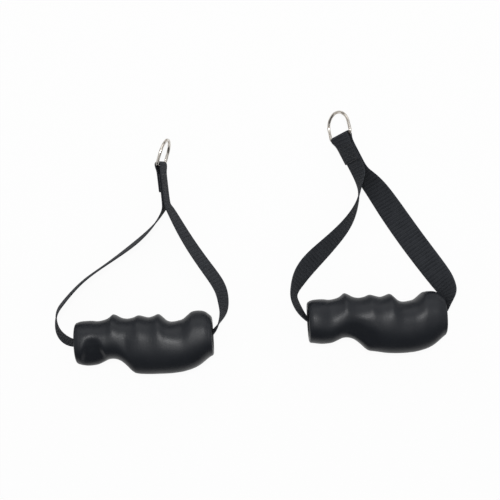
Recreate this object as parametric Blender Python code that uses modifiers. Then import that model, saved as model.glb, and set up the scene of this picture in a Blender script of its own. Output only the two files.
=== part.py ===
"""A pair of exercise handles: moulded grips on webbing loops, each with a D-ring.

Both handles lie on their sides on the ground. Lengths are in metres, +Z is up, and the
origin is on the ground under the middle of the pair.
"""
import math

import bmesh
import bpy
from mathutils import Matrix, Vector

# Webbing
webbing_width = 0.025
webbing_thickness = 0.0014
layer_gap = 0.0003
neck_length = 0.0065
tail_length = 0.027
joined_length = 0.040
ground_gap = 0.0004
sample_spacing = 0.004

# Liner tube that the webbing runs through, and the bushings at its ends
liner_clearance = 0.0004
liner_wall = 0.001
fit_gap = 0.0003
bushing_length = 0.007
mouth_flare = 0.0021
bushing_lip = 0.001

# Hand grip
grip_length = 0.1328
finger_wall = 0.0128
palm_wall = 0.020
side_wall = 0.0066
small_rim_radius = 0.0014
horn_rim_radius = 0.0014
rest_flat_depth = 0.0005

# D-ring
ring_wire_diameter = 0.003
ring_side_clearance = 0.0005
ring_inner_height = 0.022
ring_corner_radius = 0.001

# Box stitching
thread_diameter = 0.0006
stitch_box_length = 0.016
stitch_box_width = 0.019
stitch_box_end_margin = 0.001

# Layout of the pair
grip_spacing = 0.2259
grip_stagger = 0.0201
right_grip_x = 0.1193
right_grip_y = -0.0758
handle_turn_deg = 3.5
cut_overrun = 0.010

# Grip outline: station as a share of half the grip's length, height as a share of the wall
finger_line_shares = [
    (-1.00, 0.48), (-0.95, 0.60), (-0.83, 0.64), (-0.75, 0.615), (-0.68, 0.56), (-0.60, 0.605),
    (-0.54, 0.69), (-0.50, 0.805), (-0.45, 0.99), (-0.40, 0.91), (-0.35, 0.755), (-0.30, 0.64),
    (-0.23, 0.59), (-0.15, 0.655), (-0.10, 0.755), (-0.07, 0.775), (-0.03, 0.725), (0.07, 0.575),
    (0.14, 0.64), (0.18, 0.72), (0.21, 0.76), (0.24, 0.715), (0.28, 0.53), (0.33, 0.27),
    (0.38, 0.14), (0.43, 0.115), (0.50, 0.155), (0.57, 0.245), (0.64, 0.50), (0.70, 0.73),
    (0.76, 0.80), (0.82, 0.80), (0.88, 0.75), (0.92, 0.66), (0.96, 0.51), (1.00, 0.36),
]
finger_base_shares = [
    (-1.00, 0.48), (-0.90, 0.62), (-0.68, 0.58), (-0.45, 0.74), (-0.23, 0.62), (0.00, 0.64),
    (0.20, 0.61), (0.43, 0.23), (0.57, 0.36), (0.76, 0.78), (0.82, 0.80), (0.88, 0.75), (0.92, 0.66),
    (0.96, 0.51), (1.00, 0.36),
]
palm_line_shares = [
    (-1.00, 0.235), (-0.95, 0.275), (-0.90, 0.31), (-0.83, 0.34), (-0.75, 0.335), (-0.68, 0.305),
    (-0.60, 0.205), (-0.54, 0.12), (-0.50, 0.095), (-0.45, 0.10), (-0.40, 0.14), (-0.35, 0.22),
    (-0.30, 0.35), (-0.25, 0.515), (-0.20, 0.695), (-0.15, 0.82), (-0.10, 0.865), (0.00, 0.915),
    (0.10, 0.96), (0.20, 0.985), (0.30, 1.00), (0.40, 1.00), (0.50, 0.98), (0.57, 0.95),
    (0.64, 0.90), (0.70, 0.845), (0.76, 0.765), (0.82, 0.655), (0.88, 0.51), (0.92, 0.405),
    (0.96, 0.31), (1.00, 0.235),
]
side_line_shares = [
    (-1.00, 0.76), (-0.94, 0.95), (-0.85, 1.00), (-0.60, 0.84), (-0.40, 0.72), (-0.15, 0.80),
    (0.10, 0.94), (0.33, 1.00), (0.55, 1.00), (0.78, 0.98), (0.90, 0.92), (1.00, 0.70),
]
ridge_spread_share = 0.04
ridge_fade_power = 2.5
belly_share = 0.65
section_roundness = 2.3
end_hold_power = 16
shoulder_station_share = -0.08
shoulder_breadth_share = 0.17

# Hollows in the grip's two faces: station and breadth as shares of half the length, angle and
# breadth round the section in degrees, depth as a share of the side wall, steepness; they run
# out over the last degrees before the palm's middle
hollow_run_out_deg = 55
thumb_face_shares = [
    (-0.735, 0.158, 140, 56, 0.66, 6),
    (-0.25, 0.070, 98, 22, 0.12, 2),
    (0.53, 0.120, 62, 26, 0.16, 2),
]
plain_face_shares = [
    (-0.68, 0.125, 66, 27, 0.26, 2),
    (-0.25, 0.190, 118, 26, 0.38, 3),
    (0.53, 0.100, 62, 26, 0.05, 2),
]

# Mesh fineness
grip_segments = 36
grip_stations = 44
rim_stations = 3
round_segments = 32
bore_segments = 36
mouth_steps = 4
fold_steps = 10
run_samples = 10
ring_corner_steps = 4
ring_bow_steps = 16

# Each route runs from the ring down the small end's leg, through the bore and back up the
# horn end's leg. Exit points are (share of webbing width past the grip's end, share of
# webbing width from the bore's axis, angle of the webbing's face, lift); leg points are
# (share of half the grip's length, share of the reach, angle, lift). The angle is the rise
# of the webbing's upper edge from the outward side, and lift goes from 0, lying on the
# ground, to 1, as high as the bore.
right_handle = {
    "name": "right",
    "roll_deg": 0,
    "thumb_face": -1,
    "sway_share": -0.06,
    "shoulder_share": -0.12,
    "palm_shift_share": 0.010,
    "reach": 0.1804,
    "ring_station_share": -0.341,
    "head_lean_deg": 24.3,
    "head_face_deg": 62,
    "fold_face_deg": 52,
    "head_lift_share": 0.05,
    "ring_swing_deg": -20,
    "small_leg_shares": [
        (-0.105, 0.725, 88, 0.09), (-0.14, 0.64, 81, 0.0), (-0.30, 0.53, 62, 0.0),
        (-0.565, 0.435, 52, 0.05), (-0.845, 0.348, 40, 0.16), (-1.02, 0.283, 43, 0.28),
        (-1.13, 0.222, 57, 0.44),
    ],
    "small_exit_shares": [
        (0.52, 1.19, 74, 0.64), (0.46, 0.88, 74, 0.82), (0.33, 0.57, 75, 0.95),
        (0.17, 0.32, 80, 1.0), (0.0, 0.13, 84, 1.0), (-0.18, 0.01, 86, 1.0),
        (-0.42, 0.0, 86, 1.0), (-0.70, 0.0, 87, 1.0),
    ],
    "horn_exit_shares": [
        (-0.60, 0.0, 88, 1.0), (-0.33, 0.0, 89, 1.0), (-0.10, 0.06, 89, 1.0),
        (0.03, 0.19, 88, 1.0), (0.12, 0.40, 86, 0.97), (0.21, 0.64, 76, 0.86),
        (0.28, 0.92, 58, 0.62),
    ],
    "horn_leg_shares": [
        (1.055, 0.174, 34, 0.32), (0.945, 0.243, 20, 0.13), (0.64, 0.413, 15, 0.0),
        (0.35, 0.585, 22, 0.0), (0.16, 0.70, 37, 0.0), (0.02, 0.765, 51, 0.05),
    ],
}
left_handle = {
    "name": "left",
    "roll_deg": -4,
    "thumb_face": 1,
    "sway_share": 0.136,
    "shoulder_share": 0.12,
    "palm_shift_share": -0.010,
    "reach": 0.1704,
    "ring_station_share": 0.3835,
    "head_lean_deg": 2.8,
    "head_face_deg": 98,
    "fold_face_deg": 100,
    "head_lift_share": 0.0,
    "ring_swing_deg": -23,
    "small_leg_shares": [
        (0.375, 0.73, 92, 0.0), (0.235, 0.655, 96, 0.0), (-0.04, 0.56, 105, 0.0),
        (-0.55, 0.436, 95, 0.08), (-0.82, 0.373, 98, 0.20), (-1.015, 0.308, 101, 0.34),
        (-1.17, 0.243, 103, 0.52),
    ],
    "small_exit_shares": [
        (0.72, 1.34, 104, 0.66), (0.79, 1.02, 102, 0.76), (0.76, 0.66, 96, 0.86),
        (0.60, 0.34, 87, 0.94), (0.34, 0.11, 82, 1.0), (0.08, 0.03, 81, 1.0),
        (-0.20, 0.0, 81, 1.0), (-0.50, 0.0, 81, 1.0),
    ],
    "horn_exit_shares": [
        (-0.60, 0.0, 81, 1.0), (-0.33, 0.0, 82, 1.0), (-0.13, 0.02, 83, 1.0),
        (0.02, 0.13, 84, 1.0), (0.17, 0.30, 86, 0.98), (0.31, 0.55, 94, 0.87),
        (0.46, 0.86, 105, 0.68), (0.50, 1.20, 112, 0.50),
    ],
    "horn_leg_shares": [
        (1.17, 0.255, 116, 0.32), (1.08, 0.325, 117, 0.20), (0.88, 0.44, 115, 0.08),
        (0.67, 0.582, 112, 0.0), (0.54, 0.69, 107, 0.0), (0.46, 0.755, 103, 0.0),
    ],
}

# Sizes that follow from the ones above
half_length = grip_length / 2
liner_inner_radius = math.hypot(webbing_width, webbing_thickness) / 2 + liner_clearance
liner_outer_radius = liner_inner_radius + liner_wall
seat_radius = liner_outer_radius + fit_gap
mouth_radius = liner_inner_radius + mouth_flare
bushing_outer_radius = mouth_radius + bushing_lip
ring_wire_radius = ring_wire_diameter / 2
ring_inner_width = webbing_width + 2 * ring_side_clearance
fold_radius = ring_wire_radius + fit_gap + webbing_thickness / 2
layer_pitch = webbing_thickness + layer_gap


def clear_scene():
    for old in list(bpy.data.objects):
        bpy.data.objects.remove(old, do_unlink=True)


def new_collection(name):
    collection = bpy.data.collections.new(name)
    bpy.context.scene.collection.children.link(collection)
    return collection


def principled(name, colour, roughness, metallic=0.0):
    material = bpy.data.materials.new(name)
    material.use_nodes = True
    shader = material.node_tree.nodes["Principled BSDF"]
    shader.inputs["Base Color"].default_value = (*colour, 1.0)
    shader.inputs["Roughness"].default_value = roughness
    shader.inputs["Metallic"].default_value = metallic
    return material


def add_object(name, data, collection, parent=None, material=None):
    piece = bpy.data.objects.new(name, data)
    collection.objects.link(piece)
    piece.parent = parent
    if material:
        data.materials.append(material)
    return piece


def add_empty(name, matrix, collection, parent=None):
    empty = add_object(name, None, collection, parent)
    empty.matrix_local = matrix
    return empty


def mesh_from(bm, name, sharp_deg=40):
    bmesh.ops.recalc_face_normals(bm, faces=bm.faces)
    mesh = bpy.data.meshes.new(name)
    bm.to_mesh(mesh)
    bm.free()
    mesh.shade_smooth()
    mesh.set_sharp_from_angle(angle=math.radians(sharp_deg))
    return mesh


def cut(piece, cutter):
    modifier = piece.modifiers.new("cut_" + cutter.name, "BOOLEAN")
    modifier.operation = "DIFFERENCE"
    modifier.solver = "EXACT"
    modifier.object = cutter


# Hand grip


def smooth_line(shares, station):
    """A smooth line through the points, with the slope at each taken from its neighbours."""
    for index in range(len(shares) - 1):
        if station <= shares[index + 1][0]:
            break
    (x0, y0), (x1, y1) = shares[index], shares[index + 1]
    before = shares[max(index - 1, 0)]
    after = shares[min(index + 2, len(shares) - 1)]
    span = x1 - x0
    slope0 = (y1 - before[1]) / (x1 - before[0]) * span
    slope1 = (after[1] - y0) / (after[0] - x0) * span
    t = min(max((station - x0) / span, 0.0), 1.0)
    start = y0 * (2 * t**3 - 3 * t**2 + 1) + slope0 * (t**3 - 2 * t**2 + t)
    end = y1 * (3 * t**2 - 2 * t**3) + slope1 * (t**3 - t**2)
    return start + end


def rim_drop(station):
    """How far the rounded rim draws the section in at a station."""
    rim = small_rim_radius if station < 0 else horn_rim_radius
    into_rim = max(abs(station) * half_length - (half_length - rim), 0.0)
    return rim - math.sqrt(max(rim**2 - into_rim**2, 0.0))


def grip_point(station, angle, handle):
    """A point on the grip's skin; angle 0 is the finger side, half a turn is the palm.

    The two grips sit a little askew on their liners, which keep their ends in place.
    """
    across = math.cos(angle)
    beside = math.sin(angle)
    drop = rim_drop(station)
    free = 1 - station**end_hold_power
    palm_station = station - handle["palm_shift_share"] * (1 - station / 2) * free
    finger = seat_radius + finger_wall * smooth_line(finger_base_shares, station) - drop
    palm = seat_radius + palm_wall * smooth_line(palm_line_shares, palm_station) - drop
    past = (station - shoulder_station_share) / shoulder_breadth_share
    palm += side_wall * handle["shoulder_share"] * math.exp(-(past**2))
    side = seat_radius + side_wall * smooth_line(side_line_shares, station) - drop
    power = 2 / section_roundness
    belly = belly_share * (finger - palm) / 2
    height = finger - belly if across > 0 else palm + belly
    y = belly + math.copysign(abs(across) ** power * height, across)
    z = math.copysign(abs(beside) ** power * side, beside)
    y += side_wall * handle["sway_share"] * station * free
    skin = Vector((station * half_length, y, z))
    return skin + grip_relief(station, angle, handle["thumb_face"]) * free


def grip_relief(station, angle, thumb_face):
    """Finger ridges, which soften and fade down the sides, and the hollows of both faces."""
    across = math.cos(angle)
    spread = ridge_spread_share * (1 - across)
    ridge = 0.0
    for near in (station - spread, station, station + spread):
        near = min(max(near, -1.0), 1.0)
        rise = smooth_line(finger_line_shares, near) - smooth_line(finger_base_shares, near)
        ridge += rise / 3
    height = finger_wall * ridge * ((1 + across) / 2) ** ridge_fade_power
    turn = math.degrees(angle)
    left = min((math.pi - abs(angle)) / math.radians(hollow_run_out_deg), 1.0)
    run_out = left * left * (3 - 2 * left)
    hollows = thumb_face_shares if turn * thumb_face > 0 else plain_face_shares
    for place, breadth, centre, angle_breadth, depth, steepness in hollows:
        off = math.hypot((station - place) / breadth, (abs(turn) - centre) / angle_breadth)
        height -= run_out * depth * side_wall * math.exp(-(off**steepness))
    return Vector((0, across, math.sin(angle))) * height


def station_list():
    """Stations from the small end to the horn end, closer together round each rim."""
    small_start = 1 - small_rim_radius / half_length
    horn_start = 1 - horn_rim_radius / half_length
    stations = []
    for step in range(rim_stations):
        turn = math.pi / 2 * step / rim_stations
        stations.append(-small_start - (1 - small_start) * math.cos(turn))
    for step in range(grip_stations + 1):
        stations.append(-small_start + (horn_start + small_start) * step / grip_stations)
    for step in range(1, rim_stations + 1):
        turn = math.pi / 2 * step / rim_stations
        stations.append(horn_start + (1 - horn_start) * math.sin(turn))
    return stations


def grip_mesh(name, roll, handle):
    """A globe whose rings are drawn out into the grip's sections."""
    stations = station_list()
    rings = len(stations) + 1
    bm = bmesh.new()
    bmesh.ops.create_uvsphere(bm, u_segments=grip_segments, v_segments=rings, radius=1)
    for vertex in bm.verts:
        ring = round(math.acos(max(-1.0, min(1.0, vertex.co.z))) / math.pi * rings)
        if ring in (0, rings):
            vertex.co = Vector((-half_length if ring == 0 else half_length, 0, 0))
        else:
            angle = math.atan2(vertex.co.y, vertex.co.x)
            vertex.co = grip_point(stations[ring - 1], angle, handle)
        vertex.co = roll @ vertex.co
    floor = min(vertex.co.z for vertex in bm.verts) + rest_flat_depth
    for vertex in bm.verts:
        vertex.co.z = max(vertex.co.z, floor)
    return mesh_from(bm, name, sharp_deg=50), -floor


def cylinder_cutter(name, radius, start, end, collection, parent):
    """A cylinder along X between two stations, used only to cut."""
    bm = bmesh.new()
    turn = Matrix.Translation(((start + end) / 2, 0, 0)) @ Matrix.Rotation(math.pi / 2, 4, "Y")
    bmesh.ops.create_cone(
        bm, cap_ends=True, segments=bore_segments, radius1=radius, radius2=radius,
        depth=end - start, matrix=turn,
    )
    cutter = add_object(name, mesh_from(bm, name), collection, parent)
    cutter.display_type = "WIRE"
    cutter.hide_render = True
    return cutter


def make_grip(side, mesh, parent, parts, cutters, material):
    grip = add_object(side + "_hand_grip", mesh, parts, parent, material)
    pocket_start = half_length - bushing_length - fit_gap
    pocket_radius = bushing_outer_radius + fit_gap
    end = half_length + cut_overrun
    bore = cylinder_cutter(side + "_bore_cutter", seat_radius, -end, end, cutters, parent)
    small = cylinder_cutter(
        side + "_small_pocket_cutter", pocket_radius, -end, -pocket_start, cutters, parent)
    horn = cylinder_cutter(
        side + "_horn_pocket_cutter", pocket_radius, pocket_start, end, cutters, parent)
    for cutter in (bore, small, horn):
        cut(grip, cutter)
    return grip


# Liner and bushings


def turned_mesh(name, profile, sharp_deg=30):
    """A closed (station, radius) profile turned about the X axis."""
    bm = bmesh.new()
    verts = [bm.verts.new((station, radius, 0)) for station, radius in profile]
    edges = [bm.edges.new((verts[i], verts[(i + 1) % len(verts)])) for i in range(len(verts))]
    bmesh.ops.spin(
        bm, geom=verts + edges, cent=(0, 0, 0), axis=(1, 0, 0), angle=2 * math.pi,
        steps=round_segments, use_merge=True,
    )
    bmesh.ops.remove_doubles(bm, verts=bm.verts, dist=layer_gap / 10)
    return mesh_from(bm, name, sharp_deg)


def make_liner(side, parent, parts, material):
    end = half_length - bushing_length - fit_gap
    profile = [
        (-end, liner_inner_radius), (end, liner_inner_radius),
        (end, liner_outer_radius), (-end, liner_outer_radius),
    ]
    name = side + "_core_tube"
    return add_object(name, turned_mesh(name, profile), parts, parent, material)


def make_bushing(name, facing, parent, parts, material):
    """A ring at the end of the bore whose mouth opens like a bell; facing is -1 or 1."""
    inner_end = half_length - bushing_length
    profile = []
    for step in range(mouth_steps + 1):
        turn = math.pi / 2 * step / mouth_steps
        station = inner_end + bushing_length * math.sin(turn)
        radius = liner_inner_radius + mouth_flare * (1 - math.cos(turn))
        profile.append((facing * station, radius))
    profile.append((facing * half_length, bushing_outer_radius))
    profile.append((facing * inner_end, bushing_outer_radius))
    return add_object(name, turned_mesh(name, profile), parts, parent, material)


# Webbing


def b_spline(points):
    """Samples of a smooth curve drawn towards its points, which starts and ends on them."""
    held = [points[0]] * 2 + points + [points[-1]] * 2
    samples = []
    for index in range(len(held) - 3):
        for step in range(run_samples):
            t = step / run_samples
            weights = (
                (1 - t) ** 3, 3 * t**3 - 6 * t**2 + 4,
                -3 * t**3 + 3 * t**2 + 3 * t + 1, t**3,
            )
            samples.append(sum((p * w for p, w in zip(held[index:], weights)), Vector((0,) * 4)) / 6)
    samples.append(points[-1].copy())
    return samples


def evenly_spaced(samples, spacing):
    """The same run, with its points an equal distance apart."""
    lengths = [0.0]
    for a, b in zip(samples, samples[1:]):
        lengths.append(lengths[-1] + (b.xyz - a.xyz).length)
    count = max(round(lengths[-1] / spacing), 1)
    spaced = []
    index = 0
    for step in range(count + 1):
        target = lengths[-1] * step / count
        while index < len(lengths) - 2 and lengths[index + 1] < target:
            index += 1
        gap = lengths[index + 1] - lengths[index]
        share = (target - lengths[index]) / gap if gap > 0 else 0.0
        spaced.append(samples[index].lerp(samples[index + 1], min(share, 1.0)))
    return spaced


def edge_direction(along, face_deg):
    """The direction across the webbing, towards its upper edge."""
    outward = along.cross(Vector((0, 0, 1))).normalized()
    upward = outward.cross(along).normalized()
    face = math.radians(face_deg)
    return outward * math.cos(face) + upward * math.sin(face)


def lying_height(face_deg):
    """Height of the webbing's middle when its lower edge lies on the ground."""
    face = math.radians(face_deg)
    flat = webbing_thickness / 2 * abs(math.cos(face))
    return webbing_width / 2 * abs(math.sin(face)) + flat + ground_gap


def route_height(face_deg, lift, bore_height):
    lying = lying_height(face_deg)
    return lying + lift * (bore_height - lying) - bore_height


def ring_centreline():
    """The D-ring's wire, with its straight bar on the X axis and its bow towards +Y."""
    half = ring_inner_width / 2 + ring_wire_radius
    bow_centre = ring_inner_height + ring_wire_diameter - half
    corner = ring_corner_radius + ring_wire_radius
    points = []
    for side, start in ((1, -90), (-1, 180)):
        arc = []
        for step in range(ring_corner_steps + 1):
            turn = math.radians(start + 90 * step / ring_corner_steps)
            x = side * (half - corner) + corner * math.cos(turn)
            arc.append((x, corner + corner * math.sin(turn)))
        points.append(arc)
    bow = []
    for step in range(ring_bow_steps + 1):
        turn = math.pi * step / ring_bow_steps
        bow.append((half * math.cos(turn), bow_centre + half * math.sin(turn)))
    return [Vector((x, y, 0)) for x, y in points[0] + bow + points[1]]


def ring_matrix(head, along, face_deg, swing_deg):
    """The ring's place: its bar along the fold, its bow swung from the webbing's line."""
    bar = edge_direction(along, face_deg)
    bow = Matrix.Rotation(math.radians(swing_deg), 3, bar) @ along
    normal = bar.cross(bow)
    columns = Matrix((bar, bow, normal)).transposed().to_4x4()
    return Matrix.Translation(head) @ columns


def head_frame(handle, bore_height):
    """The middle of the ring's bar, the head's direction and the ring's matrix.

    The ring's lowest point rests on the ground, and the joined end of the webbing slopes
    down from it to where it lies.
    """
    lean = math.radians(handle["head_lean_deg"])
    flat = Vector((-math.sin(lean), math.cos(lean), 0))
    fold_face = handle["fold_face_deg"]
    low_height = route_height(handle["head_face_deg"], handle["head_lift_share"], bore_height)
    bar = Vector((handle["ring_station_share"] * half_length, handle["reach"], 0))
    low = bar - flat * joined_length
    low.z = low_height
    bar.z = low_height
    for _ in range(4):
        along = (bar - low).normalized()
        matrix = ring_matrix(bar, along, fold_face, handle["ring_swing_deg"])
        lowest = min((matrix @ point).z for point in ring_centreline())
        bar.z += ring_wire_radius - bore_height - lowest
    return bar, along, ring_matrix(bar, along, fold_face, handle["ring_swing_deg"])


def facing_out(along, face_deg):
    """The direction out of the webbing's face, on the side of the horn end's leg."""
    return along.cross(edge_direction(along, face_deg))


def route_points(handle, bore_height):
    """The webbing's points: from its sewn-in end up to the ring's bar, and the tail's."""
    bar, along, _ = head_frame(handle, bore_height)
    face = handle["head_face_deg"]
    fold_face = handle["fold_face_deg"]
    outer = facing_out(along, face)
    fold_outer = facing_out(along, fold_face)
    points = []

    def add(place, face_deg):
        points.append(Vector((*place, face_deg)))

    for back in (tail_length / 3, tail_length / 2, tail_length, joined_length):
        add(bar - along * back, 180 - face)
    for station, reach, face_deg, lift in handle["small_leg_shares"]:
        height = route_height(face_deg, lift, bore_height)
        add((station * half_length, reach * handle["reach"], height), face_deg)
    for key, facing in (("small_exit_shares", -1), ("horn_exit_shares", 1)):
        for beyond, out, face_deg, lift in handle[key]:
            station = facing * (half_length + beyond * webbing_width)
            height = route_height(face_deg, lift, bore_height)
            add((station, out * webbing_width, height), face_deg)
    for station, reach, face_deg, lift in handle["horn_leg_shares"]:
        height = route_height(face_deg, lift, bore_height)
        add((station * half_length, reach * handle["reach"], height), face_deg)
    for back in (joined_length, tail_length, tail_length / 2, neck_length):
        add(bar - along * back + outer * layer_pitch, face)
    for back in (fold_radius, 0):
        add(bar - along * back + fold_outer * fold_radius, fold_face)
    tail = []
    for back in (0, fold_radius):
        place = bar - along * back - fold_outer * fold_radius
        tail.append(Vector((*place, 180 - fold_face)))
    for back in (neck_length, tail_length / 2, tail_length):
        place = bar - along * back - outer * layer_pitch
        tail.append(Vector((*place, 180 - face)))
    return points, tail


def strip_run(points, spacing):
    """Places along a smooth run of the webbing, each with the direction across it."""
    run = evenly_spaced(b_spline(points), spacing)
    path = []
    for index, place in enumerate(run):
        behind = run[max(index - 1, 0)].xyz
        ahead = run[min(index + 1, len(run) - 1)].xyz
        path.append((place.xyz, edge_direction((ahead - behind).normalized(), place.w)))
    return path


def webbing_path(handle, bore_height, spacing=sample_spacing):
    """Places along the webbing's middle, each with the direction across it."""
    points, tail = route_points(handle, bore_height)
    bar, along, _ = head_frame(handle, bore_height)
    across = edge_direction(along, handle["fold_face_deg"])
    outer = facing_out(along, handle["fold_face_deg"])
    path = strip_run(points, spacing)[:-1]
    for step in range(fold_steps + 1):
        turn = math.pi * step / fold_steps
        place = bar + (outer * math.cos(turn) + along * math.sin(turn)) * fold_radius
        path.append((place, across))
    return path + strip_run(tail, spacing)[1:]


def make_webbing(side, path, parent, parts, material):
    """A flat strip along the path, thickened about its middle."""
    name = side + "_webbing"
    bm = bmesh.new()
    columns = len(path)
    bmesh.ops.create_grid(bm, x_segments=columns - 1, y_segments=2, size=1)
    for vertex in bm.verts:
        index = round((vertex.co.x + 1) / 2 * (columns - 1))
        place, across = path[index]
        vertex.co = place + across * (vertex.co.y * webbing_width / 2)
    mesh = bpy.data.meshes.new(name)
    bm.to_mesh(mesh)
    bm.free()
    mesh.shade_smooth()
    mesh.set_sharp_from_angle(angle=math.radians(50))
    webbing = add_object(name, mesh, parts, parent, material)
    solid = webbing.modifiers.new("thickness", "SOLIDIFY")
    solid.thickness = webbing_thickness
    solid.offset = 0
    solid.use_even_offset = True
    return webbing


# Ring and stitching


def make_ring(side, parent, parts, material):
    """A round wire bent along the ring's centreline."""
    name = side + "_d_ring"
    curve = bpy.data.curves.new(name, "CURVE")
    curve.dimensions = "3D"
    curve.bevel_depth = ring_wire_radius
    curve.bevel_resolution = 2
    points = ring_centreline()
    spline = curve.splines.new("POLY")
    spline.points.add(len(points) - 1)
    for target, point in zip(spline.points, points):
        target.co = (*point, 1)
    spline.use_cyclic_u = True
    spline.use_smooth = True
    return add_object(name, curve, parts, parent, material)


def stitch_outline():
    """The sewn box as a flat outline, and the four openings between its cross and sides."""
    length = stitch_box_length / 2
    width = stitch_box_width / 2
    box = [(-width, -length), (width, -length), (width, length), (-width, length)]
    inner_length = length - thread_diameter
    inner_width = width - thread_diameter
    slope = length / width
    along_clear = thread_diameter / 2 * math.hypot(1, slope)
    across_clear = along_clear / slope
    openings = []
    for sign in (-1, 1):
        foot = (inner_length - along_clear) / slope
        openings.append([
            (0, sign * along_clear), (foot, sign * inner_length), (-foot, sign * inner_length)])
        foot = (inner_width - across_clear) * slope
        openings.append([
            (sign * across_clear, 0), (sign * inner_width, foot), (sign * inner_width, -foot)])
    return [box] + openings


def make_stitching(side, face_name, face, frame, parent, parts, material):
    """The sewn box and cross on one face of the joined webbing; face is -1 or 1."""
    bar, along, across, outer = frame
    name = side + "_" + face_name + "_stitching"
    curve = bpy.data.curves.new(name, "CURVE")
    curve.dimensions = "2D"
    curve.fill_mode = "BOTH"
    curve.extrude = thread_diameter / 2
    for outline in stitch_outline():
        spline = curve.splines.new("POLY")
        spline.points.add(len(outline) - 1)
        for target, point in zip(spline.points, outline):
            target.co = (*point, 0, 1)
        spline.use_cyclic_u = True
    middle = tail_length - stitch_box_end_margin - stitch_box_length / 2
    stand_off = layer_pitch + webbing_thickness / 2 + layer_gap + thread_diameter / 2
    columns = Matrix((across, along, across.cross(along))).transposed().to_4x4()
    stitching = add_object(name, curve, parts, parent, material)
    place = bar - along * middle + outer * (face * stand_off)
    stitching.matrix_local = Matrix.Translation(place) @ columns
    return stitching


# Handles


def make_handle(handle, place, parts, cutters, materials):
    side = handle["name"]
    roll = Matrix.Rotation(math.radians(handle["roll_deg"]), 3, "X")
    mesh, bore_height = grip_mesh(side + "_hand_grip", roll, handle)
    spot = Matrix.Translation((place[0], place[1], bore_height))
    turned = spot @ Matrix.Rotation(math.radians(handle_turn_deg), 4, "Z")
    grip_frame = add_empty(side + "_grip_frame", turned, parts)
    make_grip(side, mesh, grip_frame, parts, cutters, materials["rubber"])
    make_liner(side, grip_frame, parts, materials["tube"])
    make_bushing(side + "_small_end_bushing", -1, grip_frame, parts, materials["bushing"])
    make_bushing(side + "_horn_end_bushing", 1, grip_frame, parts, materials["bushing"])

    strap_axis = add_empty(side + "_strap_axis", Matrix.Identity(4), parts, grip_frame)
    path = webbing_path(handle, bore_height)
    make_webbing(side, path, strap_axis, parts, materials["webbing"])
    bar, along, ring_place = head_frame(handle, bore_height)
    face = handle["head_face_deg"]
    frame = (bar, along, edge_direction(along, face), facing_out(along, face))
    for face_name, face in (("outer_face", 1), ("tail_face", -1)):
        make_stitching(side, face_name, face, frame, strap_axis, parts, materials["thread"])

    ring_axis = add_empty(side + "_ring_axis", ring_place, parts, strap_axis)
    make_ring(side, ring_axis, parts, materials["chrome"])


def build():
    clear_scene()
    parts = new_collection("exercise_handles")
    cutters = new_collection("cutters")
    materials = {
        "rubber": principled("grip_rubber", (0.022, 0.024, 0.027), 0.42),
        "tube": principled("core_tube_plastic", (0.03, 0.03, 0.032), 0.5),
        "bushing": principled("bushing_plastic", (0.014, 0.014, 0.015), 0.38),
        "webbing": principled("nylon_webbing", (0.016, 0.017, 0.019), 0.8),
        "thread": principled("black_thread", (0.012, 0.012, 0.013), 0.7),
        "chrome": principled("plated_steel", (0.78, 0.77, 0.75), 0.14, 1.0),
    }
    right_place = (right_grip_x, right_grip_y)
    left_place = (right_grip_x - grip_spacing, right_grip_y - grip_stagger)
    make_handle(right_handle, right_place, parts, cutters, materials)
    make_handle(left_handle, left_place, parts, cutters, materials)


build()
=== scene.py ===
import math

import bmesh
import bpy
from mathutils import Matrix, Vector


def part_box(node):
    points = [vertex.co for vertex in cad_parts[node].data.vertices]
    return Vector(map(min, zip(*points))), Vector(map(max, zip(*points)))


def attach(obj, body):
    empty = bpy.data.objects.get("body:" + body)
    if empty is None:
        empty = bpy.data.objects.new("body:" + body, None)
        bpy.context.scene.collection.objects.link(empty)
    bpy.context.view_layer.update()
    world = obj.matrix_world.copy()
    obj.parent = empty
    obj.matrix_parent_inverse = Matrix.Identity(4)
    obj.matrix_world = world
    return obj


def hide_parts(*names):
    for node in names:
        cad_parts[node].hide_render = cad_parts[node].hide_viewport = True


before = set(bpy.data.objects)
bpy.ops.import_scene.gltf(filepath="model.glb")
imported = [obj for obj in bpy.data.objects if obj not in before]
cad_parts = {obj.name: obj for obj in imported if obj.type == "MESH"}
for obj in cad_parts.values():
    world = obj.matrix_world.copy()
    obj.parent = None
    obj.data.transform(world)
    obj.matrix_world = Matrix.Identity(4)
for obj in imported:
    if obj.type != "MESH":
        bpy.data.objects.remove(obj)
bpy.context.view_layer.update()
print("frame loaded:", len(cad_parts), "nodes")

sides = ("left", "right")


def addObject(name, data):
    added = bpy.data.objects.new(name, data)
    bpy.context.scene.collection.objects.link(added)
    return added


# camera first, everything else is looked at through it

cameraValues = {
    "middle": (-0.0039, -0.0082),  # the point on the floor under the picture's centre
    "height": 0.9,
    "viewWidth": 0.5,              # metres of floor across the picture
    "sensor": 36.0,
    "nearest": 0.01,
}


def makeCamera(values):
    data = bpy.data.cameras.new("topCamera")
    data.sensor_width = values["sensor"]
    data.lens = values["sensor"] * values["height"] / values["viewWidth"]
    data.clip_start = values["nearest"]
    camera = addObject("topCamera", data)
    camera.location = (*values["middle"], values["height"])
    bpy.context.scene.camera = camera


makeCamera(cameraValues)


# small helpers for meshes

def smoothShare(t):
    t = min(max(t, 0.0), 1.0)
    return t * t * (3 - 2 * t)


def fullTurn(count):
    return [2 * math.pi * i / count for i in range(count)]


def arcPoints(x, y, radius, startDegrees, sweepDegrees, steps):
    turns = [math.radians(startDegrees + sweepDegrees * i / steps) for i in range(steps + 1)]
    return [(x + radius * math.cos(turn), y + radius * math.sin(turn)) for turn in turns]


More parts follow.
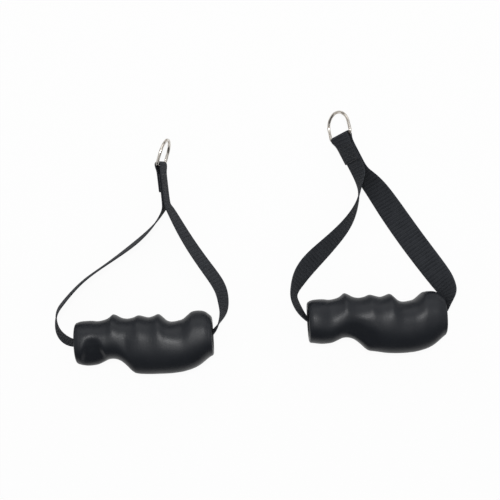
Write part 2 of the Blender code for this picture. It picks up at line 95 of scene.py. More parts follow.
def bridgeRings(bm, rings, closed=False):
    # quads between neighbouring rings of the same number of points
    pairs = list(zip(rings, rings[1:]))
    if closed:
        pairs.append((rings[-1], rings[0]))
    for before, after in pairs:
        count = len(before)
        for i in range(count):
            j = (i + 1) % count
            bm.faces.new((before[i], before[j], after[j], after[i]))


def coverRings(bm, rings, mapLayer, acrossMap, alongMap):
    # the same, with each corner's place across and along in the map, and a face on both ends
    count = len(rings[0])
    for r in range(len(rings) - 1):
        for i in range(count):
            corners = ((i, r), (i + 1, r), (i + 1, r + 1), (i, r + 1))
            face = bm.faces.new([rings[row][column % count] for column, row in corners])
            for loop, (column, row) in zip(face.loops, corners):
                loop[mapLayer].uv = (acrossMap[column], alongMap[row])
    bm.faces.new(rings[0])
    bm.faces.new(list(reversed(rings[-1])))


# each kind of piece: the body it rides on, its slot, its material, the node it stands for,
# the angle in degrees from which an edge is sharp

pieceKinds = {
    "Sleeve": ("grip", "grip_rubber", "rubber", "hand_grip", 42),
    "SmallBushing": ("grip", "bushing_plastic", "bushing", "small_end_bushing", 32),
    "HornBushing": ("grip", "bushing_plastic", "bushing", "horn_end_bushing", 32),
    "CoreTube": ("grip", "core_tube_plastic", "tube", "core_tube", 32),
    "Webbing": ("strap", "nylon_webbing", "webbing", "webbing", 60),
    "OuterStitches": ("strap", "black_thread", "thread", "outer_face_stitching", 60),
    "TailStitches": ("strap", "black_thread", "thread", "tail_face_stitching", 60),
    "Ring": ("ring", "plated_steel", "steel", "d_ring", 60),
}


def finishPiece(bm, side, kind):
    body, slotName, material, node, sharpDegrees = pieceKinds[kind]
    bmesh.ops.recalc_face_normals(bm, faces=bm.faces)
    mesh = bpy.data.meshes.new(side + kind)
    bm.to_mesh(mesh)
    bm.free()
    mesh.shade_smooth()
    mesh.set_sharp_from_angle(angle=math.radians(sharpDegrees))
    mesh.materials.append(materials[material])
    piece = addObject(side + kind, mesh)
    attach(piece, side + "_" + body)
    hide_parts(side + "_" + node)


# small helpers for shader nodes

def feed(tree, socket, value):
    # a socket takes another node's output, a colour or a plain number
    if isinstance(value, bpy.types.NodeSocket):
        tree.links.new(value, socket)
    elif isinstance(value, tuple):
        socket.default_value = (*value, 1.0)
    else:
        socket.default_value = value


def addNode(tree, kind, inputs, **settings):
    # a node with its settings made and its inputs fed, by label or by place; gives its outputs
    node = tree.nodes.new("ShaderNode" + kind)
    for setting, value in settings.items():
        setattr(node, setting, value)
    for label, value in inputs.items():
        feed(tree, node.inputs[label], value)
    return node.outputs


def mathNode(tree, operation, *values):
    return addNode(tree, "Math", dict(enumerate(values)), operation=operation)[0]


def product(tree, first, second):
    return mathNode(tree, "MULTIPLY", first, second)


def humps(tree, value):
    # one rounded hump for each whole step of the value
    return mathNode(tree, "ABSOLUTE", mathNode(tree, "SINE", product(tree, value, math.pi)))


def noiseNode(tree, vector, scale, detail, roughness=0.5):
    given = {"Vector": vector, "Scale": scale, "Detail": detail, "Roughness": roughness}
    return addNode(tree, "TexNoise", given)["Fac"]


def mixColours(tree, factor, first, second):
    return addNode(tree, "Mix", {0: factor, 6: first, 7: second}, data_type="RGBA")[2]


def mapRange(tree, value, low, high, start=0.0, end=1.0):
    given = {"Value": value, "From Min": start, "From Max": end, "To Min": low, "To Max": high}
    return addNode(tree, "MapRange", given)["Result"]


def bumpNode(tree, height, distance, strength, normal=None):
    given = {"Distance": distance, "Strength": strength, "Height": height}
    if normal:
        given["Normal"] = normal
    return addNode(tree, "Bump", given)["Normal"]


def readAttribute(tree, name, output="Fac"):
    return addNode(tree, "Attribute", {}, attribute_name=name)[output]


def readStripMap(tree):
    # the map's place across or round a strip or thread, and along it in metres
    place = addNode(tree, "UVMap", {}, uv_map="stripMap")["UV"]
    split = addNode(tree, "SeparateXYZ", {0: place})
    return split[0], split[1]


# node groups shared by the materials

def newGroup(name, numbers, outputs):
    # takes a place and some numbers, which are given here with what they are at first
    group = bpy.data.node_groups.new(name, "ShaderNodeTree")
    group.interface.new_socket("Vector", in_out="INPUT", socket_type="NodeSocketVector")
    for label, value in numbers.items():
        socket = group.interface.new_socket(label, in_out="INPUT", socket_type="NodeSocketFloat")
        socket.default_value = value
    for label in outputs:
        group.interface.new_socket(label, in_out="OUTPUT", socket_type="NodeSocketFloat")
    return group, group.nodes.new("NodeGroupInput"), group.nodes.new("NodeGroupOutput")


def mottlingGroup():
    # a soft cloudy mask, for uneven colour and gloss
    group, start, end = newGroup("mottling", {"Scale": 40.0, "Contrast": 2.0}, ["Mask"])
    broad = noiseNode(group, start.outputs["Vector"], start.outputs["Scale"], 4.0, 0.6)
    centred = mathNode(group, "SUBTRACT", broad, 0.5)
    spread = product(group, centred, start.outputs["Contrast"])
    clamped = addNode(group, "Clamp", {0: mathNode(group, "ADD", spread, 0.5)})
    group.links.new(clamped[0], end.inputs["Mask"])
    return group


skinGrain = {"smoothness": 0.6, "cellShare": 0.7, "coarser": 0.35, "speckScale": 2600.0, "speckLevel": 0.74}


def mouldedSkinGroup():
    # fine pebble of a moulded surface: grain height and a speck mask
    group, start, end = newGroup("mouldedSkin", {"Scale": 900.0}, ["Height", "Specks"])
    place, scale = start.outputs["Vector"], start.outputs["Scale"]
    given = {"Vector": place, "Scale": scale, "Smoothness": skinGrain["smoothness"]}
    cells = addNode(group, "TexVoronoi", given, feature="SMOOTH_F1")
    waves = noiseNode(group, place, product(group, scale, skinGrain["coarser"]), 3.0)
    pebbles = product(group, cells["Distance"], skinGrain["cellShare"])
    dots = noiseNode(group, place, skinGrain["speckScale"], 0.0)
    group.links.new(mathNode(group, "ADD", pebbles, waves), end.inputs["Height"])
    group.links.new(mathNode(group, "GREATER_THAN", dots, skinGrain["speckLevel"]), end.inputs["Specks"])
    return group


groups = {"mottling": mottlingGroup(), "mouldedSkin": mouldedSkinGroup()}


def useGroup(tree, name, vector, **values):
    return addNode(tree, "Group", {"Vector": vector, **values}, node_tree=groups[name])


def mottle(tree, place, scale, contrast):
    return useGroup(tree, "mottling", place, Scale=scale, Contrast=contrast)["Mask"]


def newMaterial(name):
    material = bpy.data.materials.new(name)
    material.use_nodes = True
    tree = material.node_tree
    return material, tree, tree.nodes["Principled BSDF"], addNode(tree, "TexCoord", {})["Object"]


def dress(tree, shader, colour, roughness, normal):
    for label, output in (("Base Color", colour), ("Roughness", roughness), ("Normal", normal)):
        tree.links.new(output, shader.inputs[label])


# the moulded rubber of the sleeves; mottlings are scale and contrast, bumps depth and strength

rubberLook = {
    "dark": (0.0090, 0.0108, 0.0146),
    "light": (0.0118, 0.0138, 0.0180),
    "rubbed": (0.0175, 0.0197, 0.0240),
    "roughness": (0.31, 0.50),
    "specular": 0.28,
    "cloud": (28.0, 2.4),
    "fine": (170.0, 2.0), "fineGloss": 0.04,
    "flow": (420.0, 2.0), "flowStretch": (1.0, 0.12, 0.12), "flowTint": 0.35, "flowBump": (0.0002, 0.35),
    "grainScale": 1500.0, "grainBump": (0.00006, 0.5),
    "speckTint": 0.25, "wearMask": (0.2, 1.0), "wearGloss": 0.05,
}


def makeRubber(look):
    material, tree, shader, place = newMaterial("mouldedRubber")
    cloud = mottle(tree, place, *look["cloud"])
    fine = mottle(tree, place, *look["fine"])
    skin = useGroup(tree, "mouldedSkin", place, Scale=look["grainScale"])
    # the rubber flowed round the mould in faint rings, drawn out across the sleeve
    stretched = tree.nodes.new("ShaderNodeMapping")
    stretched.inputs["Scale"].default_value = look["flowStretch"]
    tree.links.new(place, stretched.inputs["Vector"])
    flow = noiseNode(tree, stretched.outputs["Vector"], *look["flow"])
    base = mixColours(tree, cloud, look["dark"], look["light"])
    streaked = mixColours(tree, mapRange(tree, flow, 0.0, look["flowTint"]), base, look["light"])
    wear = product(tree, readAttribute(tree, "handWear"), mapRange(tree, fine, *look["wearMask"]))
    rubbed = mixColours(tree, wear, streaked, look["rubbed"])
    specked = mixColours(tree, product(tree, skin["Specks"], look["speckTint"]), rubbed, look["rubbed"])
    low, high = look["roughness"]
    broadGloss = mapRange(tree, cloud, low, high - look["fineGloss"])
    gloss = mathNode(tree, "ADD", broadGloss, mapRange(tree, fine, 0.0, look["fineGloss"]))
    polished = mathNode(tree, "SUBTRACT", gloss, product(tree, wear, look["wearGloss"]))
    rings = bumpNode(tree, flow, *look["flowBump"])
    dress(tree, shader, specked, polished, bumpNode(tree, skin["Height"], *look["grainBump"], rings))
    shader.inputs["Specular IOR Level"].default_value = look["specular"]
    return material


# plastic of the bushings and the core tube

plasticLook = {
    "bushing": {"dark": (0.0085, 0.0090, 0.0100), "light": (0.0150, 0.0155, 0.0165),
                "roughness": (0.30, 0.42)},
    "tube": {"dark": (0.020, 0.020, 0.021), "light": (0.034, 0.034, 0.035), "roughness": (0.45, 0.58)},
    "skin": {"cloud": (90.0, 2.2), "grainScale": 2200.0, "grainBump": (0.00004, 0.4)},
}


def makePlastic(name, look, skinLook):
    material, tree, shader, place = newMaterial(name)
    cloud = mottle(tree, place, *skinLook["cloud"])
    skin = useGroup(tree, "mouldedSkin", place, Scale=skinLook["grainScale"])
    dress(tree, shader, mixColours(tree, cloud, look["dark"], look["light"]),
          mapRange(tree, cloud, *look["roughness"]),
          bumpNode(tree, skin["Height"], *skinLook["grainBump"]))
    return material


# woven nylon, thread and plated steel

weaveLook = {
    # valley and crown: painted shade in the weave's valleys and painted highlight on its rib crowns
    "paintedValleyShade": (0.0260, 0.0282, 0.0332),
    "paintedCrownHighlight": (0.0430, 0.0465, 0.0535),
    "fade": (0.0450, 0.0485, 0.0550),
    "shade": (0.0105, 0.0120, 0.0152),
    "roughness": (0.78, 0.92),
    "specular": 0.16,
    "ribPitch": 0.0018, "ribPower": 0.6,
    "yarnPitch": 0.00125, "yarnPower": 0.5,
    "bandPitch": 0.0036, "bandWander": 2.2,      # every second rib is a little darker
    "fibres": (5200.0, 2.0), "fibreShare": 0.25,
    "weaveBump": (0.00022, 0.7),
    "cloud": (45.0, 2.2), "speck": (800.0, 2.6), "patches": (110.0, 2.6),
    "dust": 0.45, "patchMask": (0.15, 0.85), "edgeMask": (0.1, 0.55),
}


def makeWebbingCloth(look):
    material, tree, shader, place = newMaterial("wovenNylon")
    acrossPlace, alongPlace = readStripMap(tree)
    across = mathNode(tree, "DIVIDE", acrossPlace, look["yarnPitch"])
    along = mathNode(tree, "DIVIDE", alongPlace, look["ribPitch"])
    # every second rib carries its yarns half a pitch over, as in a plain weave
    rib = product(tree, mathNode(tree, "FLOOR", along), 0.5)
    ribShape = mathNode(tree, "POWER", humps(tree, along), look["ribPower"])
    yarnShape = mathNode(tree, "POWER", humps(tree, mathNode(tree, "ADD", across, rib)), look["yarnPower"])
    weave = product(tree, ribShape, yarnShape)
    fibres = noiseNode(tree, place, *look["fibres"])
    height = mathNode(tree, "ADD", weave, product(tree, fibres, look["fibreShare"]))
    cloud = mottle(tree, place, *look["cloud"])
    speck = mottle(tree, place, *look["speck"])
    # darker and lighter ribs in turn, more marked in some places than in others
    wander = product(tree, cloud, look["bandWander"])
    bandTurn = mathNode(tree, "DIVIDE", alongPlace, look["bandPitch"] / (2 * math.pi))
    band = mathNode(tree, "SINE", mathNode(tree, "ADD", bandTurn, wander))
    patches = mapRange(tree, mottle(tree, place, *look["patches"]), *look["patchMask"])
    shaded = product(tree, mapRange(tree, band, 0.0, 1.0, -1.0, 1.0), patches)
    # rib crowns painted lighter and the valleys between them darker: painted highlight and painted shade of
    # the weave
    paintedRibShading = mixColours(tree, weave, look["paintedValleyShade"], look["paintedCrownHighlight"])
    base = mixColours(tree, shaded, paintedRibShading, look["shade"])
    dust = product(tree, product(tree, cloud, speck), look["dust"])
    dusty = mixColours(tree, dust, base, look["fade"])
    edge = product(tree, readAttribute(tree, "selvage"), mapRange(tree, speck, *look["edgeMask"]))
    crownGloss, valleyGloss = look["roughness"]
    dress(tree, shader, mixColours(tree, edge, dusty, look["fade"]),
          mapRange(tree, weave, valleyGloss, crownGloss), bumpNode(tree, height, *look["weaveBump"]))
    shader.inputs["Specular IOR Level"].default_value = look["specular"]
    return material


threadLook = {
    # dark and light: painted shade in the grooves between the twisted strands and painted highlight on their
    # crowns
    "dark": (0.0090, 0.0098, 0.0115),
    "light": (0.0290, 0.0305, 0.0340),
    "roughness": (0.42, 0.6),
    "sheen": 0.05,
    "twistPitch": 0.0007, "twistBump": (0.00008, 0.8),
    "cloud": (900.0, 2.0),
}


def makeThread(look):
    material, tree, shader, place = newMaterial("bondedThread")
    roundPlace, alongPlace = readStripMap(tree)
    turn = mathNode(tree, "ADD", mathNode(tree, "DIVIDE", alongPlace, look["twistPitch"]), roundPlace)
    strandReliefAndShade = humps(tree, turn)
    cloud = mottle(tree, place, *look["cloud"])
    # the strands' crowns painted light and the grooves between them dark: painted highlight and painted
    # shade; the same humps give the bump
    dress(tree, shader, mixColours(tree, strandReliefAndShade, look["dark"], look["light"]),
          mapRange(tree, cloud, *look["roughness"]), bumpNode(tree, strandReliefAndShade, *look["twistBump"]))
    shader.inputs["Sheen Weight"].default_value = look["sheen"]
    return material


steelLook = {
    "bright": (0.84, 0.81, 0.76),
    "dull": (0.66, 0.62, 0.56),
    # colour of the darker streaks: painted reflection of a dim room
    "drawn": (0.36, 0.32, 0.28),
    "roughness": (0.19, 0.26),
    "cloud": (160.0, 2.6), "cloudTint": 0.6,
    "scratches": (4200.0, 3.0, 0.7), "scratchGloss": (-0.01, 0.015),
    "reflectionStreaks": (1.3, 2.0), "reflectionStreakEdge": (0.38, 0.60),
    "waves": (330.0, 1.0), "waveBump": (0.00005, 0.4),
}


def makePlatedSteel(look):
    material, tree, shader, place = newMaterial("nickelPlate")
    cloud = mottle(tree, place, *look["cloud"])
    scratches = noiseNode(tree, place, *look["scratches"])
    waves = noiseNode(tree, place, *look["waves"])
    # darker streaks along and round the wire: painted reflection of a dim room
    reflectionStreaks = noiseNode(tree, readAttribute(tree, "wirePlace", "Vector"), *look["reflectionStreaks"])
    plate = mixColours(tree, product(tree, cloud, look["cloudTint"]), look["bright"], look["dull"])
    drawn = mixColours(tree, mapRange(tree, reflectionStreaks, 0.0, 1.0, *look["reflectionStreakEdge"]), plate, look["drawn"])
    dulled = mathNode(tree, "ADD", mapRange(tree, cloud, *look["roughness"]),
                      mapRange(tree, scratches, *look["scratchGloss"]))
    dress(tree, shader, drawn, dulled, bumpNode(tree, waves, *look["waveBump"]))
    shader.inputs["Metallic"].default_value = 1.0
    return material


materials = {
    "rubber": makeRubber(rubberLook),
    "bushing": makePlastic("mouldedPlastic", plasticLook["bushing"], plasticLook["skin"]),
    "tube": makePlastic("extrudedPlastic", plasticLook["tube"], plasticLook["skin"]),
    "webbing": makeWebbingCloth(weaveLook),
    "thread": makeThread(threadLook),
    "steel": makePlatedSteel(steelLook),
}
print("materials made:", len(materials))


# where each handle lies

handleTurn = 3.5      # degrees, grips rise to the right
strip = {"width": 0.025, "thickness": 0.0014, "layerGap": 0.0003, "groundGap": 0.0004}
bore = {
    "clearance": 0.0004, "wall": 0.001, "fitGap": 0.0003,
    "flare": 0.0021, "lip": 0.001, "bushingLength": 0.007,
}
halfThick = strip["thickness"] / 2
linerInner = math.hypot(strip["width"], strip["thickness"]) / 2 + bore["clearance"]
linerOuter = linerInner + bore["wall"]
seatRadius = linerOuter + bore["fitGap"]
bushingRadius = linerInner + bore["flare"] + bore["lip"]


def gripFrame(side):
    # the core tube is centred on the bore's axis, half way along the grip
    low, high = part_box(side + "_core_tube")
    spot = Matrix.Translation((low + high) / 2)
    return spot @ Matrix.Rotation(math.radians(handleTurn), 4, "Z")


gripFrames = {side: gripFrame(side) for side in sides}
boreHeights = {side: gripFrames[side].translation.z for side in sides}


def aroundBore(station, radius, turn):
    return Vector((station, radius * math.cos(turn), radius * math.sin(turn)))


# the moulded sleeves

sleeve = {
    "length": 0.1328, "fingerWall": 0.0128, "palmWall": 0.020, "sideWall": 0.0066,
    "smallRim": 0.0014, "hornRim": 0.0014,
    "roll": {"left": -4.0, "right": 0.0},
    "thumbFace": {"left": 1, "right": -1},       # 1 where the thumb's hollow looks up
    "sway": {"left": 0.0009, "right": -0.0004},
    "palmShift": {"left": -0.010, "right": 0.010},
    "shoulder": {"left": 0.0008, "right": -0.0008}, "shoulderPlace": (-0.08, 0.17),
    "ridgeSpread": 0.04, "ridgeFade": 2.5, "belly": 0.65, "roundness": 2.3, "endHold": 16,
    # hollows: station and breadth, angle and breadth round the section, depth, steepness;
    # they run out over the last degrees before the palm's middle
    "hollowRunOut": 55,
    "thumbHollows": [(-0.735, 0.158, 140, 56, 0.66, 6), (-0.25, 0.070, 98, 22, 0.12, 2),
                     (0.53, 0.120, 62, 26, 0.16, 2)],
    "plainHollows": [(-0.68, 0.125, 66, 27, 0.26, 2), (-0.25, 0.190, 118, 26, 0.38, 3),
                     (0.53, 0.100, 62, 26, 0.05, 2)],
    "segments": 160, "stations": 200, "crowding": 0.45, "rimSteps": 8, "endSteps": 5,
    "pocketChamfer": 0.0006, "endDish": 0.0004,
    "partingLine": {"height": 0.00012, "width": 0.00035, "endFade": 12},
    "toolRings": [(-0.952, 0.00006), (-0.912, 0.00003), (0.945, 0.00006), (0.915, 0.00003)],
    "toolRingWidth": 0.00045,
    "wear": {"ridge": 0.55, "fullRidge": 0.35, "rim": 0.35, "rimStart": 0.955, "rimRise": 30,
             "palm": 0.25, "palmRise": 1.6, "palmStart": 0.4, "palmMiddle": 0.3, "palmFall": 2},
}
halfLength = sleeve["length"] / 2
fingerLine = [
    (-1.00, 0.48), (-0.95, 0.60), (-0.83, 0.64), (-0.75, 0.615), (-0.68, 0.56), (-0.60, 0.605),
    (-0.54, 0.69), (-0.50, 0.805), (-0.45, 0.99), (-0.40, 0.91), (-0.35, 0.755), (-0.30, 0.64),
    (-0.23, 0.59), (-0.15, 0.655), (-0.10, 0.755), (-0.07, 0.775), (-0.03, 0.725), (0.07, 0.575),
    (0.14, 0.64), (0.18, 0.72), (0.21, 0.76), (0.24, 0.715), (0.28, 0.53), (0.33, 0.27),
    (0.38, 0.14), (0.43, 0.115), (0.50, 0.155), (0.57, 0.245), (0.64, 0.50), (0.70, 0.73),
    (0.76, 0.80), (0.82, 0.80), (0.88, 0.75), (0.92, 0.66), (0.96, 0.51), (1.00, 0.36),
]
fingerBase = [
    (-1.00, 0.48), (-0.90, 0.62), (-0.68, 0.58), (-0.45, 0.74), (-0.23, 0.62), (0.00, 0.64),
    (0.20, 0.61), (0.43, 0.23), (0.57, 0.36), (0.76, 0.78), (0.82, 0.80), (0.88, 0.75), (0.92, 0.66),
    (0.96, 0.51), (1.00, 0.36),
]
palmLine = [
    (-1.00, 0.235), (-0.95, 0.275), (-0.90, 0.31), (-0.83, 0.34), (-0.75, 0.335), (-0.68, 0.305),
    (-0.60, 0.205), (-0.54, 0.12), (-0.50, 0.095), (-0.45, 0.10), (-0.40, 0.14), (-0.35, 0.22),
    (-0.30, 0.35), (-0.25, 0.515), (-0.20, 0.695), (-0.15, 0.82), (-0.10, 0.865), (0.00, 0.915),
    (0.10, 0.96), (0.20, 0.985), (0.30, 1.00), (0.40, 1.00), (0.50, 0.98), (0.57, 0.95),
    (0.64, 0.90), (0.70, 0.845), (0.76, 0.765), (0.82, 0.655), (0.88, 0.51), (0.92, 0.405),
    (0.96, 0.31), (1.00, 0.235),
]
sideLine = [
    (-1.00, 0.76), (-0.94, 0.95), (-0.85, 1.00), (-0.60, 0.84), (-0.40, 0.72), (-0.15, 0.80),
    (0.10, 0.94), (0.33, 1.00), (0.55, 1.00), (0.78, 0.98), (0.90, 0.92), (1.00, 0.70),
]


def smoothLine(shares, station):
    for index in range(len(shares) - 1):
        if station <= shares[index + 1][0]:
            break
    (x0, y0), (x1, y1) = shares[index], shares[index + 1]
    before = shares[max(index - 1, 0)]
    after = shares[min(index + 2, len(shares) - 1)]
    span = x1 - x0
    slope0 = (y1 - before[1]) / (x1 - before[0]) * span
    slope1 = (after[1] - y0) / (after[0] - x0) * span
    t = min(max((station - x0) / span, 0.0), 1.0)
    return (y0 * (2 * t**3 - 3 * t**2 + 1) + slope0 * (t**3 - 2 * t**2 + t)
            + y1 * (3 * t**2 - 2 * t**3) + slope1 * (t**3 - t**2))


def rimDrop(station):
    rim = sleeve["smallRim"] if station < 0 else sleeve["hornRim"]
    into = max(abs(station) * halfLength - (halfLength - rim), 0.0)
    return rim - math.sqrt(max(rim**2 - into**2, 0.0))


def sleeveRidge(station, angle):
    across = math.cos(angle)
    spread = sleeve["ridgeSpread"] * (1 - across)
    ridge = 0.0
    for near in (station - spread, station, station + spread):
        near = min(max(near, -1.0), 1.0)
        ridge += (smoothLine(fingerLine, near) - smoothLine(fingerBase, near)) / 3
    return sleeve["fingerWall"] * ridge * ((1 + across) / 2) ** sleeve["ridgeFade"]


def sleeveHollow(station, angle, thumbFace):
    turn = math.degrees(angle)
    hollows = sleeve["thumbHollows"] if turn * thumbFace > 0 else sleeve["plainHollows"]
    depths = 0.0
    for place, breadth, centre, angleBreadth, depth, steepness in hollows:
        off = math.hypot((station - place) / breadth, (abs(turn) - centre) / angleBreadth)
        depths += depth * sleeve["sideWall"] * math.exp(-(off**steepness))
    return depths * smoothShare((180 - abs(turn)) / sleeve["hollowRunOut"])


def mouldMarks(station, z):
    # the raised line where the mould's halves met, less the rings that its end pieces left
    parting = sleeve["partingLine"]
    raised = parting["height"] * math.exp(-((z / parting["width"]) ** 2))
    raised *= smoothShare((1 - abs(station)) * parting["endFade"])
    for place, depth in sleeve["toolRings"]:
        offset = (station - place) * halfLength / sleeve["toolRingWidth"]
        raised -= depth * math.exp(-(offset**2))
    return raised


def sleevePoint(station, angle, side):
    # angle 0 is the finger side, half a turn is the palm
    across, beside = math.cos(angle), math.sin(angle)
    drop = rimDrop(station)
    free = 1 - station ** sleeve["endHold"]
    palmStation = station - sleeve["palmShift"][side] * (1 - station / 2) * free
    finger = seatRadius + sleeve["fingerWall"] * smoothLine(fingerBase, station) - drop
    palm = seatRadius + sleeve["palmWall"] * smoothLine(palmLine, palmStation) - drop
    place, breadth = sleeve["shoulderPlace"]
    palm += sleeve["shoulder"][side] * math.exp(-(((station - place) / breadth) ** 2))
    flank = seatRadius + sleeve["sideWall"] * smoothLine(sideLine, station) - drop
    power = 2 / sleeve["roundness"]
    belly = sleeve["belly"] * (finger - palm) / 2
    height = finger - belly if across > 0 else palm + belly
    y = belly + math.copysign(abs(across) ** power * height, across) + sleeve["sway"][side] * station * free
    z = math.copysign(abs(beside) ** power * flank, beside)
    relief = sleeveRidge(station, angle) - sleeveHollow(station, angle, sleeve["thumbFace"][side])
    out = relief * free + mouldMarks(station, z)
    return Vector((station * halfLength, y + across * out, z + beside * out))


def sleeveStations():
    smallStart = 1 - sleeve["smallRim"] / halfLength
    hornStart = 1 - sleeve["hornRim"] / halfLength
    steps, count, crowding = sleeve["rimSteps"], sleeve["stations"], sleeve["crowding"]
    rimTurns = [math.pi / 2 * i / steps for i in range(steps + 1)]
    stations = [-smallStart - (1 - smallStart) * math.cos(turn) for turn in rimTurns[:-1]]
    for i in range(count + 1):
        # closer together near both ends, where the tool rings are
        t = (1 - crowding) * i / count + crowding * (0.5 - 0.5 * math.cos(math.pi * i / count))
        stations.append(-smallStart + (hornStart + smallStart) * t)
    return stations + [hornStart + (1 - hornStart) * math.sin(turn) for turn in rimTurns[1:]]


def endRings(facing, outline):
    # the end face from the rim's outline to the bushing's pocket, then down into the bore
    pocket = bushingRadius + bore["fitGap"]
    turns = [math.atan2(point.z, point.y) for point in outline]
    rings = []
    for step in range(1, sleeve["endSteps"] + 1):
        t = step / sleeve["endSteps"]
        dished = sleeve["endDish"] * math.sin(math.pi * t)
        ring = []
        for point, turn in zip(outline, turns):
            mouth = aroundBore(0, pocket + sleeve["pocketChamfer"], turn)
            flat = Vector((0, point.y, point.z)).lerp(mouth, t)
            ring.append(Vector((facing * (halfLength - dished), flat.y, flat.z)))
        rings.append(ring)
    floorStation = halfLength - bore["bushingLength"] - bore["fitGap"]
    for radius, station in ((pocket, halfLength - sleeve["pocketChamfer"]), (pocket, floorStation),
                            (seatRadius, floorStation), (seatRadius, floorStation - bore["bushingLength"])):
        rings.append([aroundBore(facing * station, radius, turn) for turn in turns])
    return rings


def handWear(station, angle):
    # hands rub the crests of the finger ridges, the palm swell and the rims
    wear, across = sleeve["wear"], math.cos(angle)
    ridge = max(sleeveRidge(station, angle), 0.0) / (sleeve["fingerWall"] * wear["fullRidge"])
    rim = smoothShare((abs(station) - wear["rimStart"]) * wear["rimRise"])
    palm = smoothShare(-across * wear["palmRise"] - wear["palmStart"])
    palm *= wear["palm"] * smoothShare(1 - abs(station - wear["palmMiddle"]) * wear["palmFall"])
    return min(wear["ridge"] * ridge * (0.5 + 0.5 * across) + wear["rim"] * rim + palm, 1.0)


def makeSleeve(side):
    roll = Matrix.Rotation(math.radians(sleeve["roll"][side]), 3, "X")
    angles = [a if a <= math.pi else a - 2 * math.pi for a in fullTurn(sleeve["segments"])]
    stations = sleeveStations()
    skin = [[sleevePoint(station, angle, side) for angle in angles] for station in stations]
    smallEnd = list(reversed(endRings(-1, skin[0])))
    bm = bmesh.new()
    wearLayer = bm.verts.layers.float.new("handWear")
    made = []
    for ring in smallEnd + skin + endRings(1, skin[-1]):
        row = []
        for point in ring:
            turned = roll @ point
            turned.z = max(turned.z, -boreHeights[side])   # flat where it rests on the floor
            row.append(bm.verts.new(gripFrames[side] @ turned))
        made.append(row)
    for row, station in zip(made[len(smallEnd):], stations):
        for vertex, angle in zip(row, angles):
            vertex[wearLayer] = handWear(station, angle)
    bridgeRings(bm, made)
    finishPiece(bm, side, "Sleeve")


for side in sides:
    makeSleeve(side)
print("sleeves moulded")


# bushings and core tube, turned round the bore

turning = {
    "segments": 96, "mouthSteps": 12, "mouthOpen": 0.97, "edgeRound": 0.00035, "edgeSteps": 4,
    "stepLip": 0.0003,
}


def turnPiece(side, kind, profile):
    bm = bmesh.new()
    rings = []
    for station, radius in profile:
        spots = [aroundBore(station, radius, turn) for turn in fullTurn(turning["segments"])]
        rings.append([bm.verts.new(gripFrames[side] @ spot) for spot in spots])
    bridgeRings(bm, rings, closed=True)
    finishPiece(bm, side, kind)


def makeBushing(side, kind, facing):
    inner = halfLength - bore["bushingLength"]
    edge = turning["edgeRound"]
    profile = []
    for step in range(turning["mouthSteps"] + 1):
        turn = math.pi / 2 * step / turning["mouthSteps"] * turning["mouthOpen"]
        profile.append((inner + bore["bushingLength"] * math.sin(turn),
                        linerInner + bore["flare"] * (1 - math.cos(turn))))
    profile += arcPoints(halfLength - edge, bushingRadius - edge, edge, 0, 90, turning["edgeSteps"])
    profile += [(inner + edge, bushingRadius), (inner, bushingRadius - edge)]
    turnPiece(side, kind, [(facing * station, radius) for station, radius in profile])


def makeCoreTube(side):
    end = halfLength - bore["bushingLength"] - bore["fitGap"]
    chamfer = turning["stepLip"]
    turnPiece(side, "CoreTube", [
        (-end, linerInner + chamfer), (-end + chamfer, linerInner), (end - chamfer, linerInner),
        (end, linerInner + chamfer), (end, linerOuter), (-end, linerOuter)])


for side in sides:
    makeBushing(side, "SmallBushing", -1)
    makeBushing(side, "HornBushing", 1)
    makeCoreTube(side)
print("bushings and tubes turned")


# the webbing's routes, in each grip's frame

ring = {"wire": 0.003, "sideClearance": 0.0005, "innerHeight": 0.022, "corner": 0.001}
head = {
    "neck": 0.0065, "tail": 0.027, "joined": 0.040, "foldSteps": 26,
    "settleRounds": 4, "settleSteps": (4, 16),
}
curveSteps = 40       # samples on each stretch of a drawn curve
wireRadius = ring["wire"] / 2
ringWidth = strip["width"] + 2 * ring["sideClearance"]
foldRadius = wireRadius + bore["fitGap"] + halfThick
layerPitch = strip["thickness"] + strip["layerGap"]

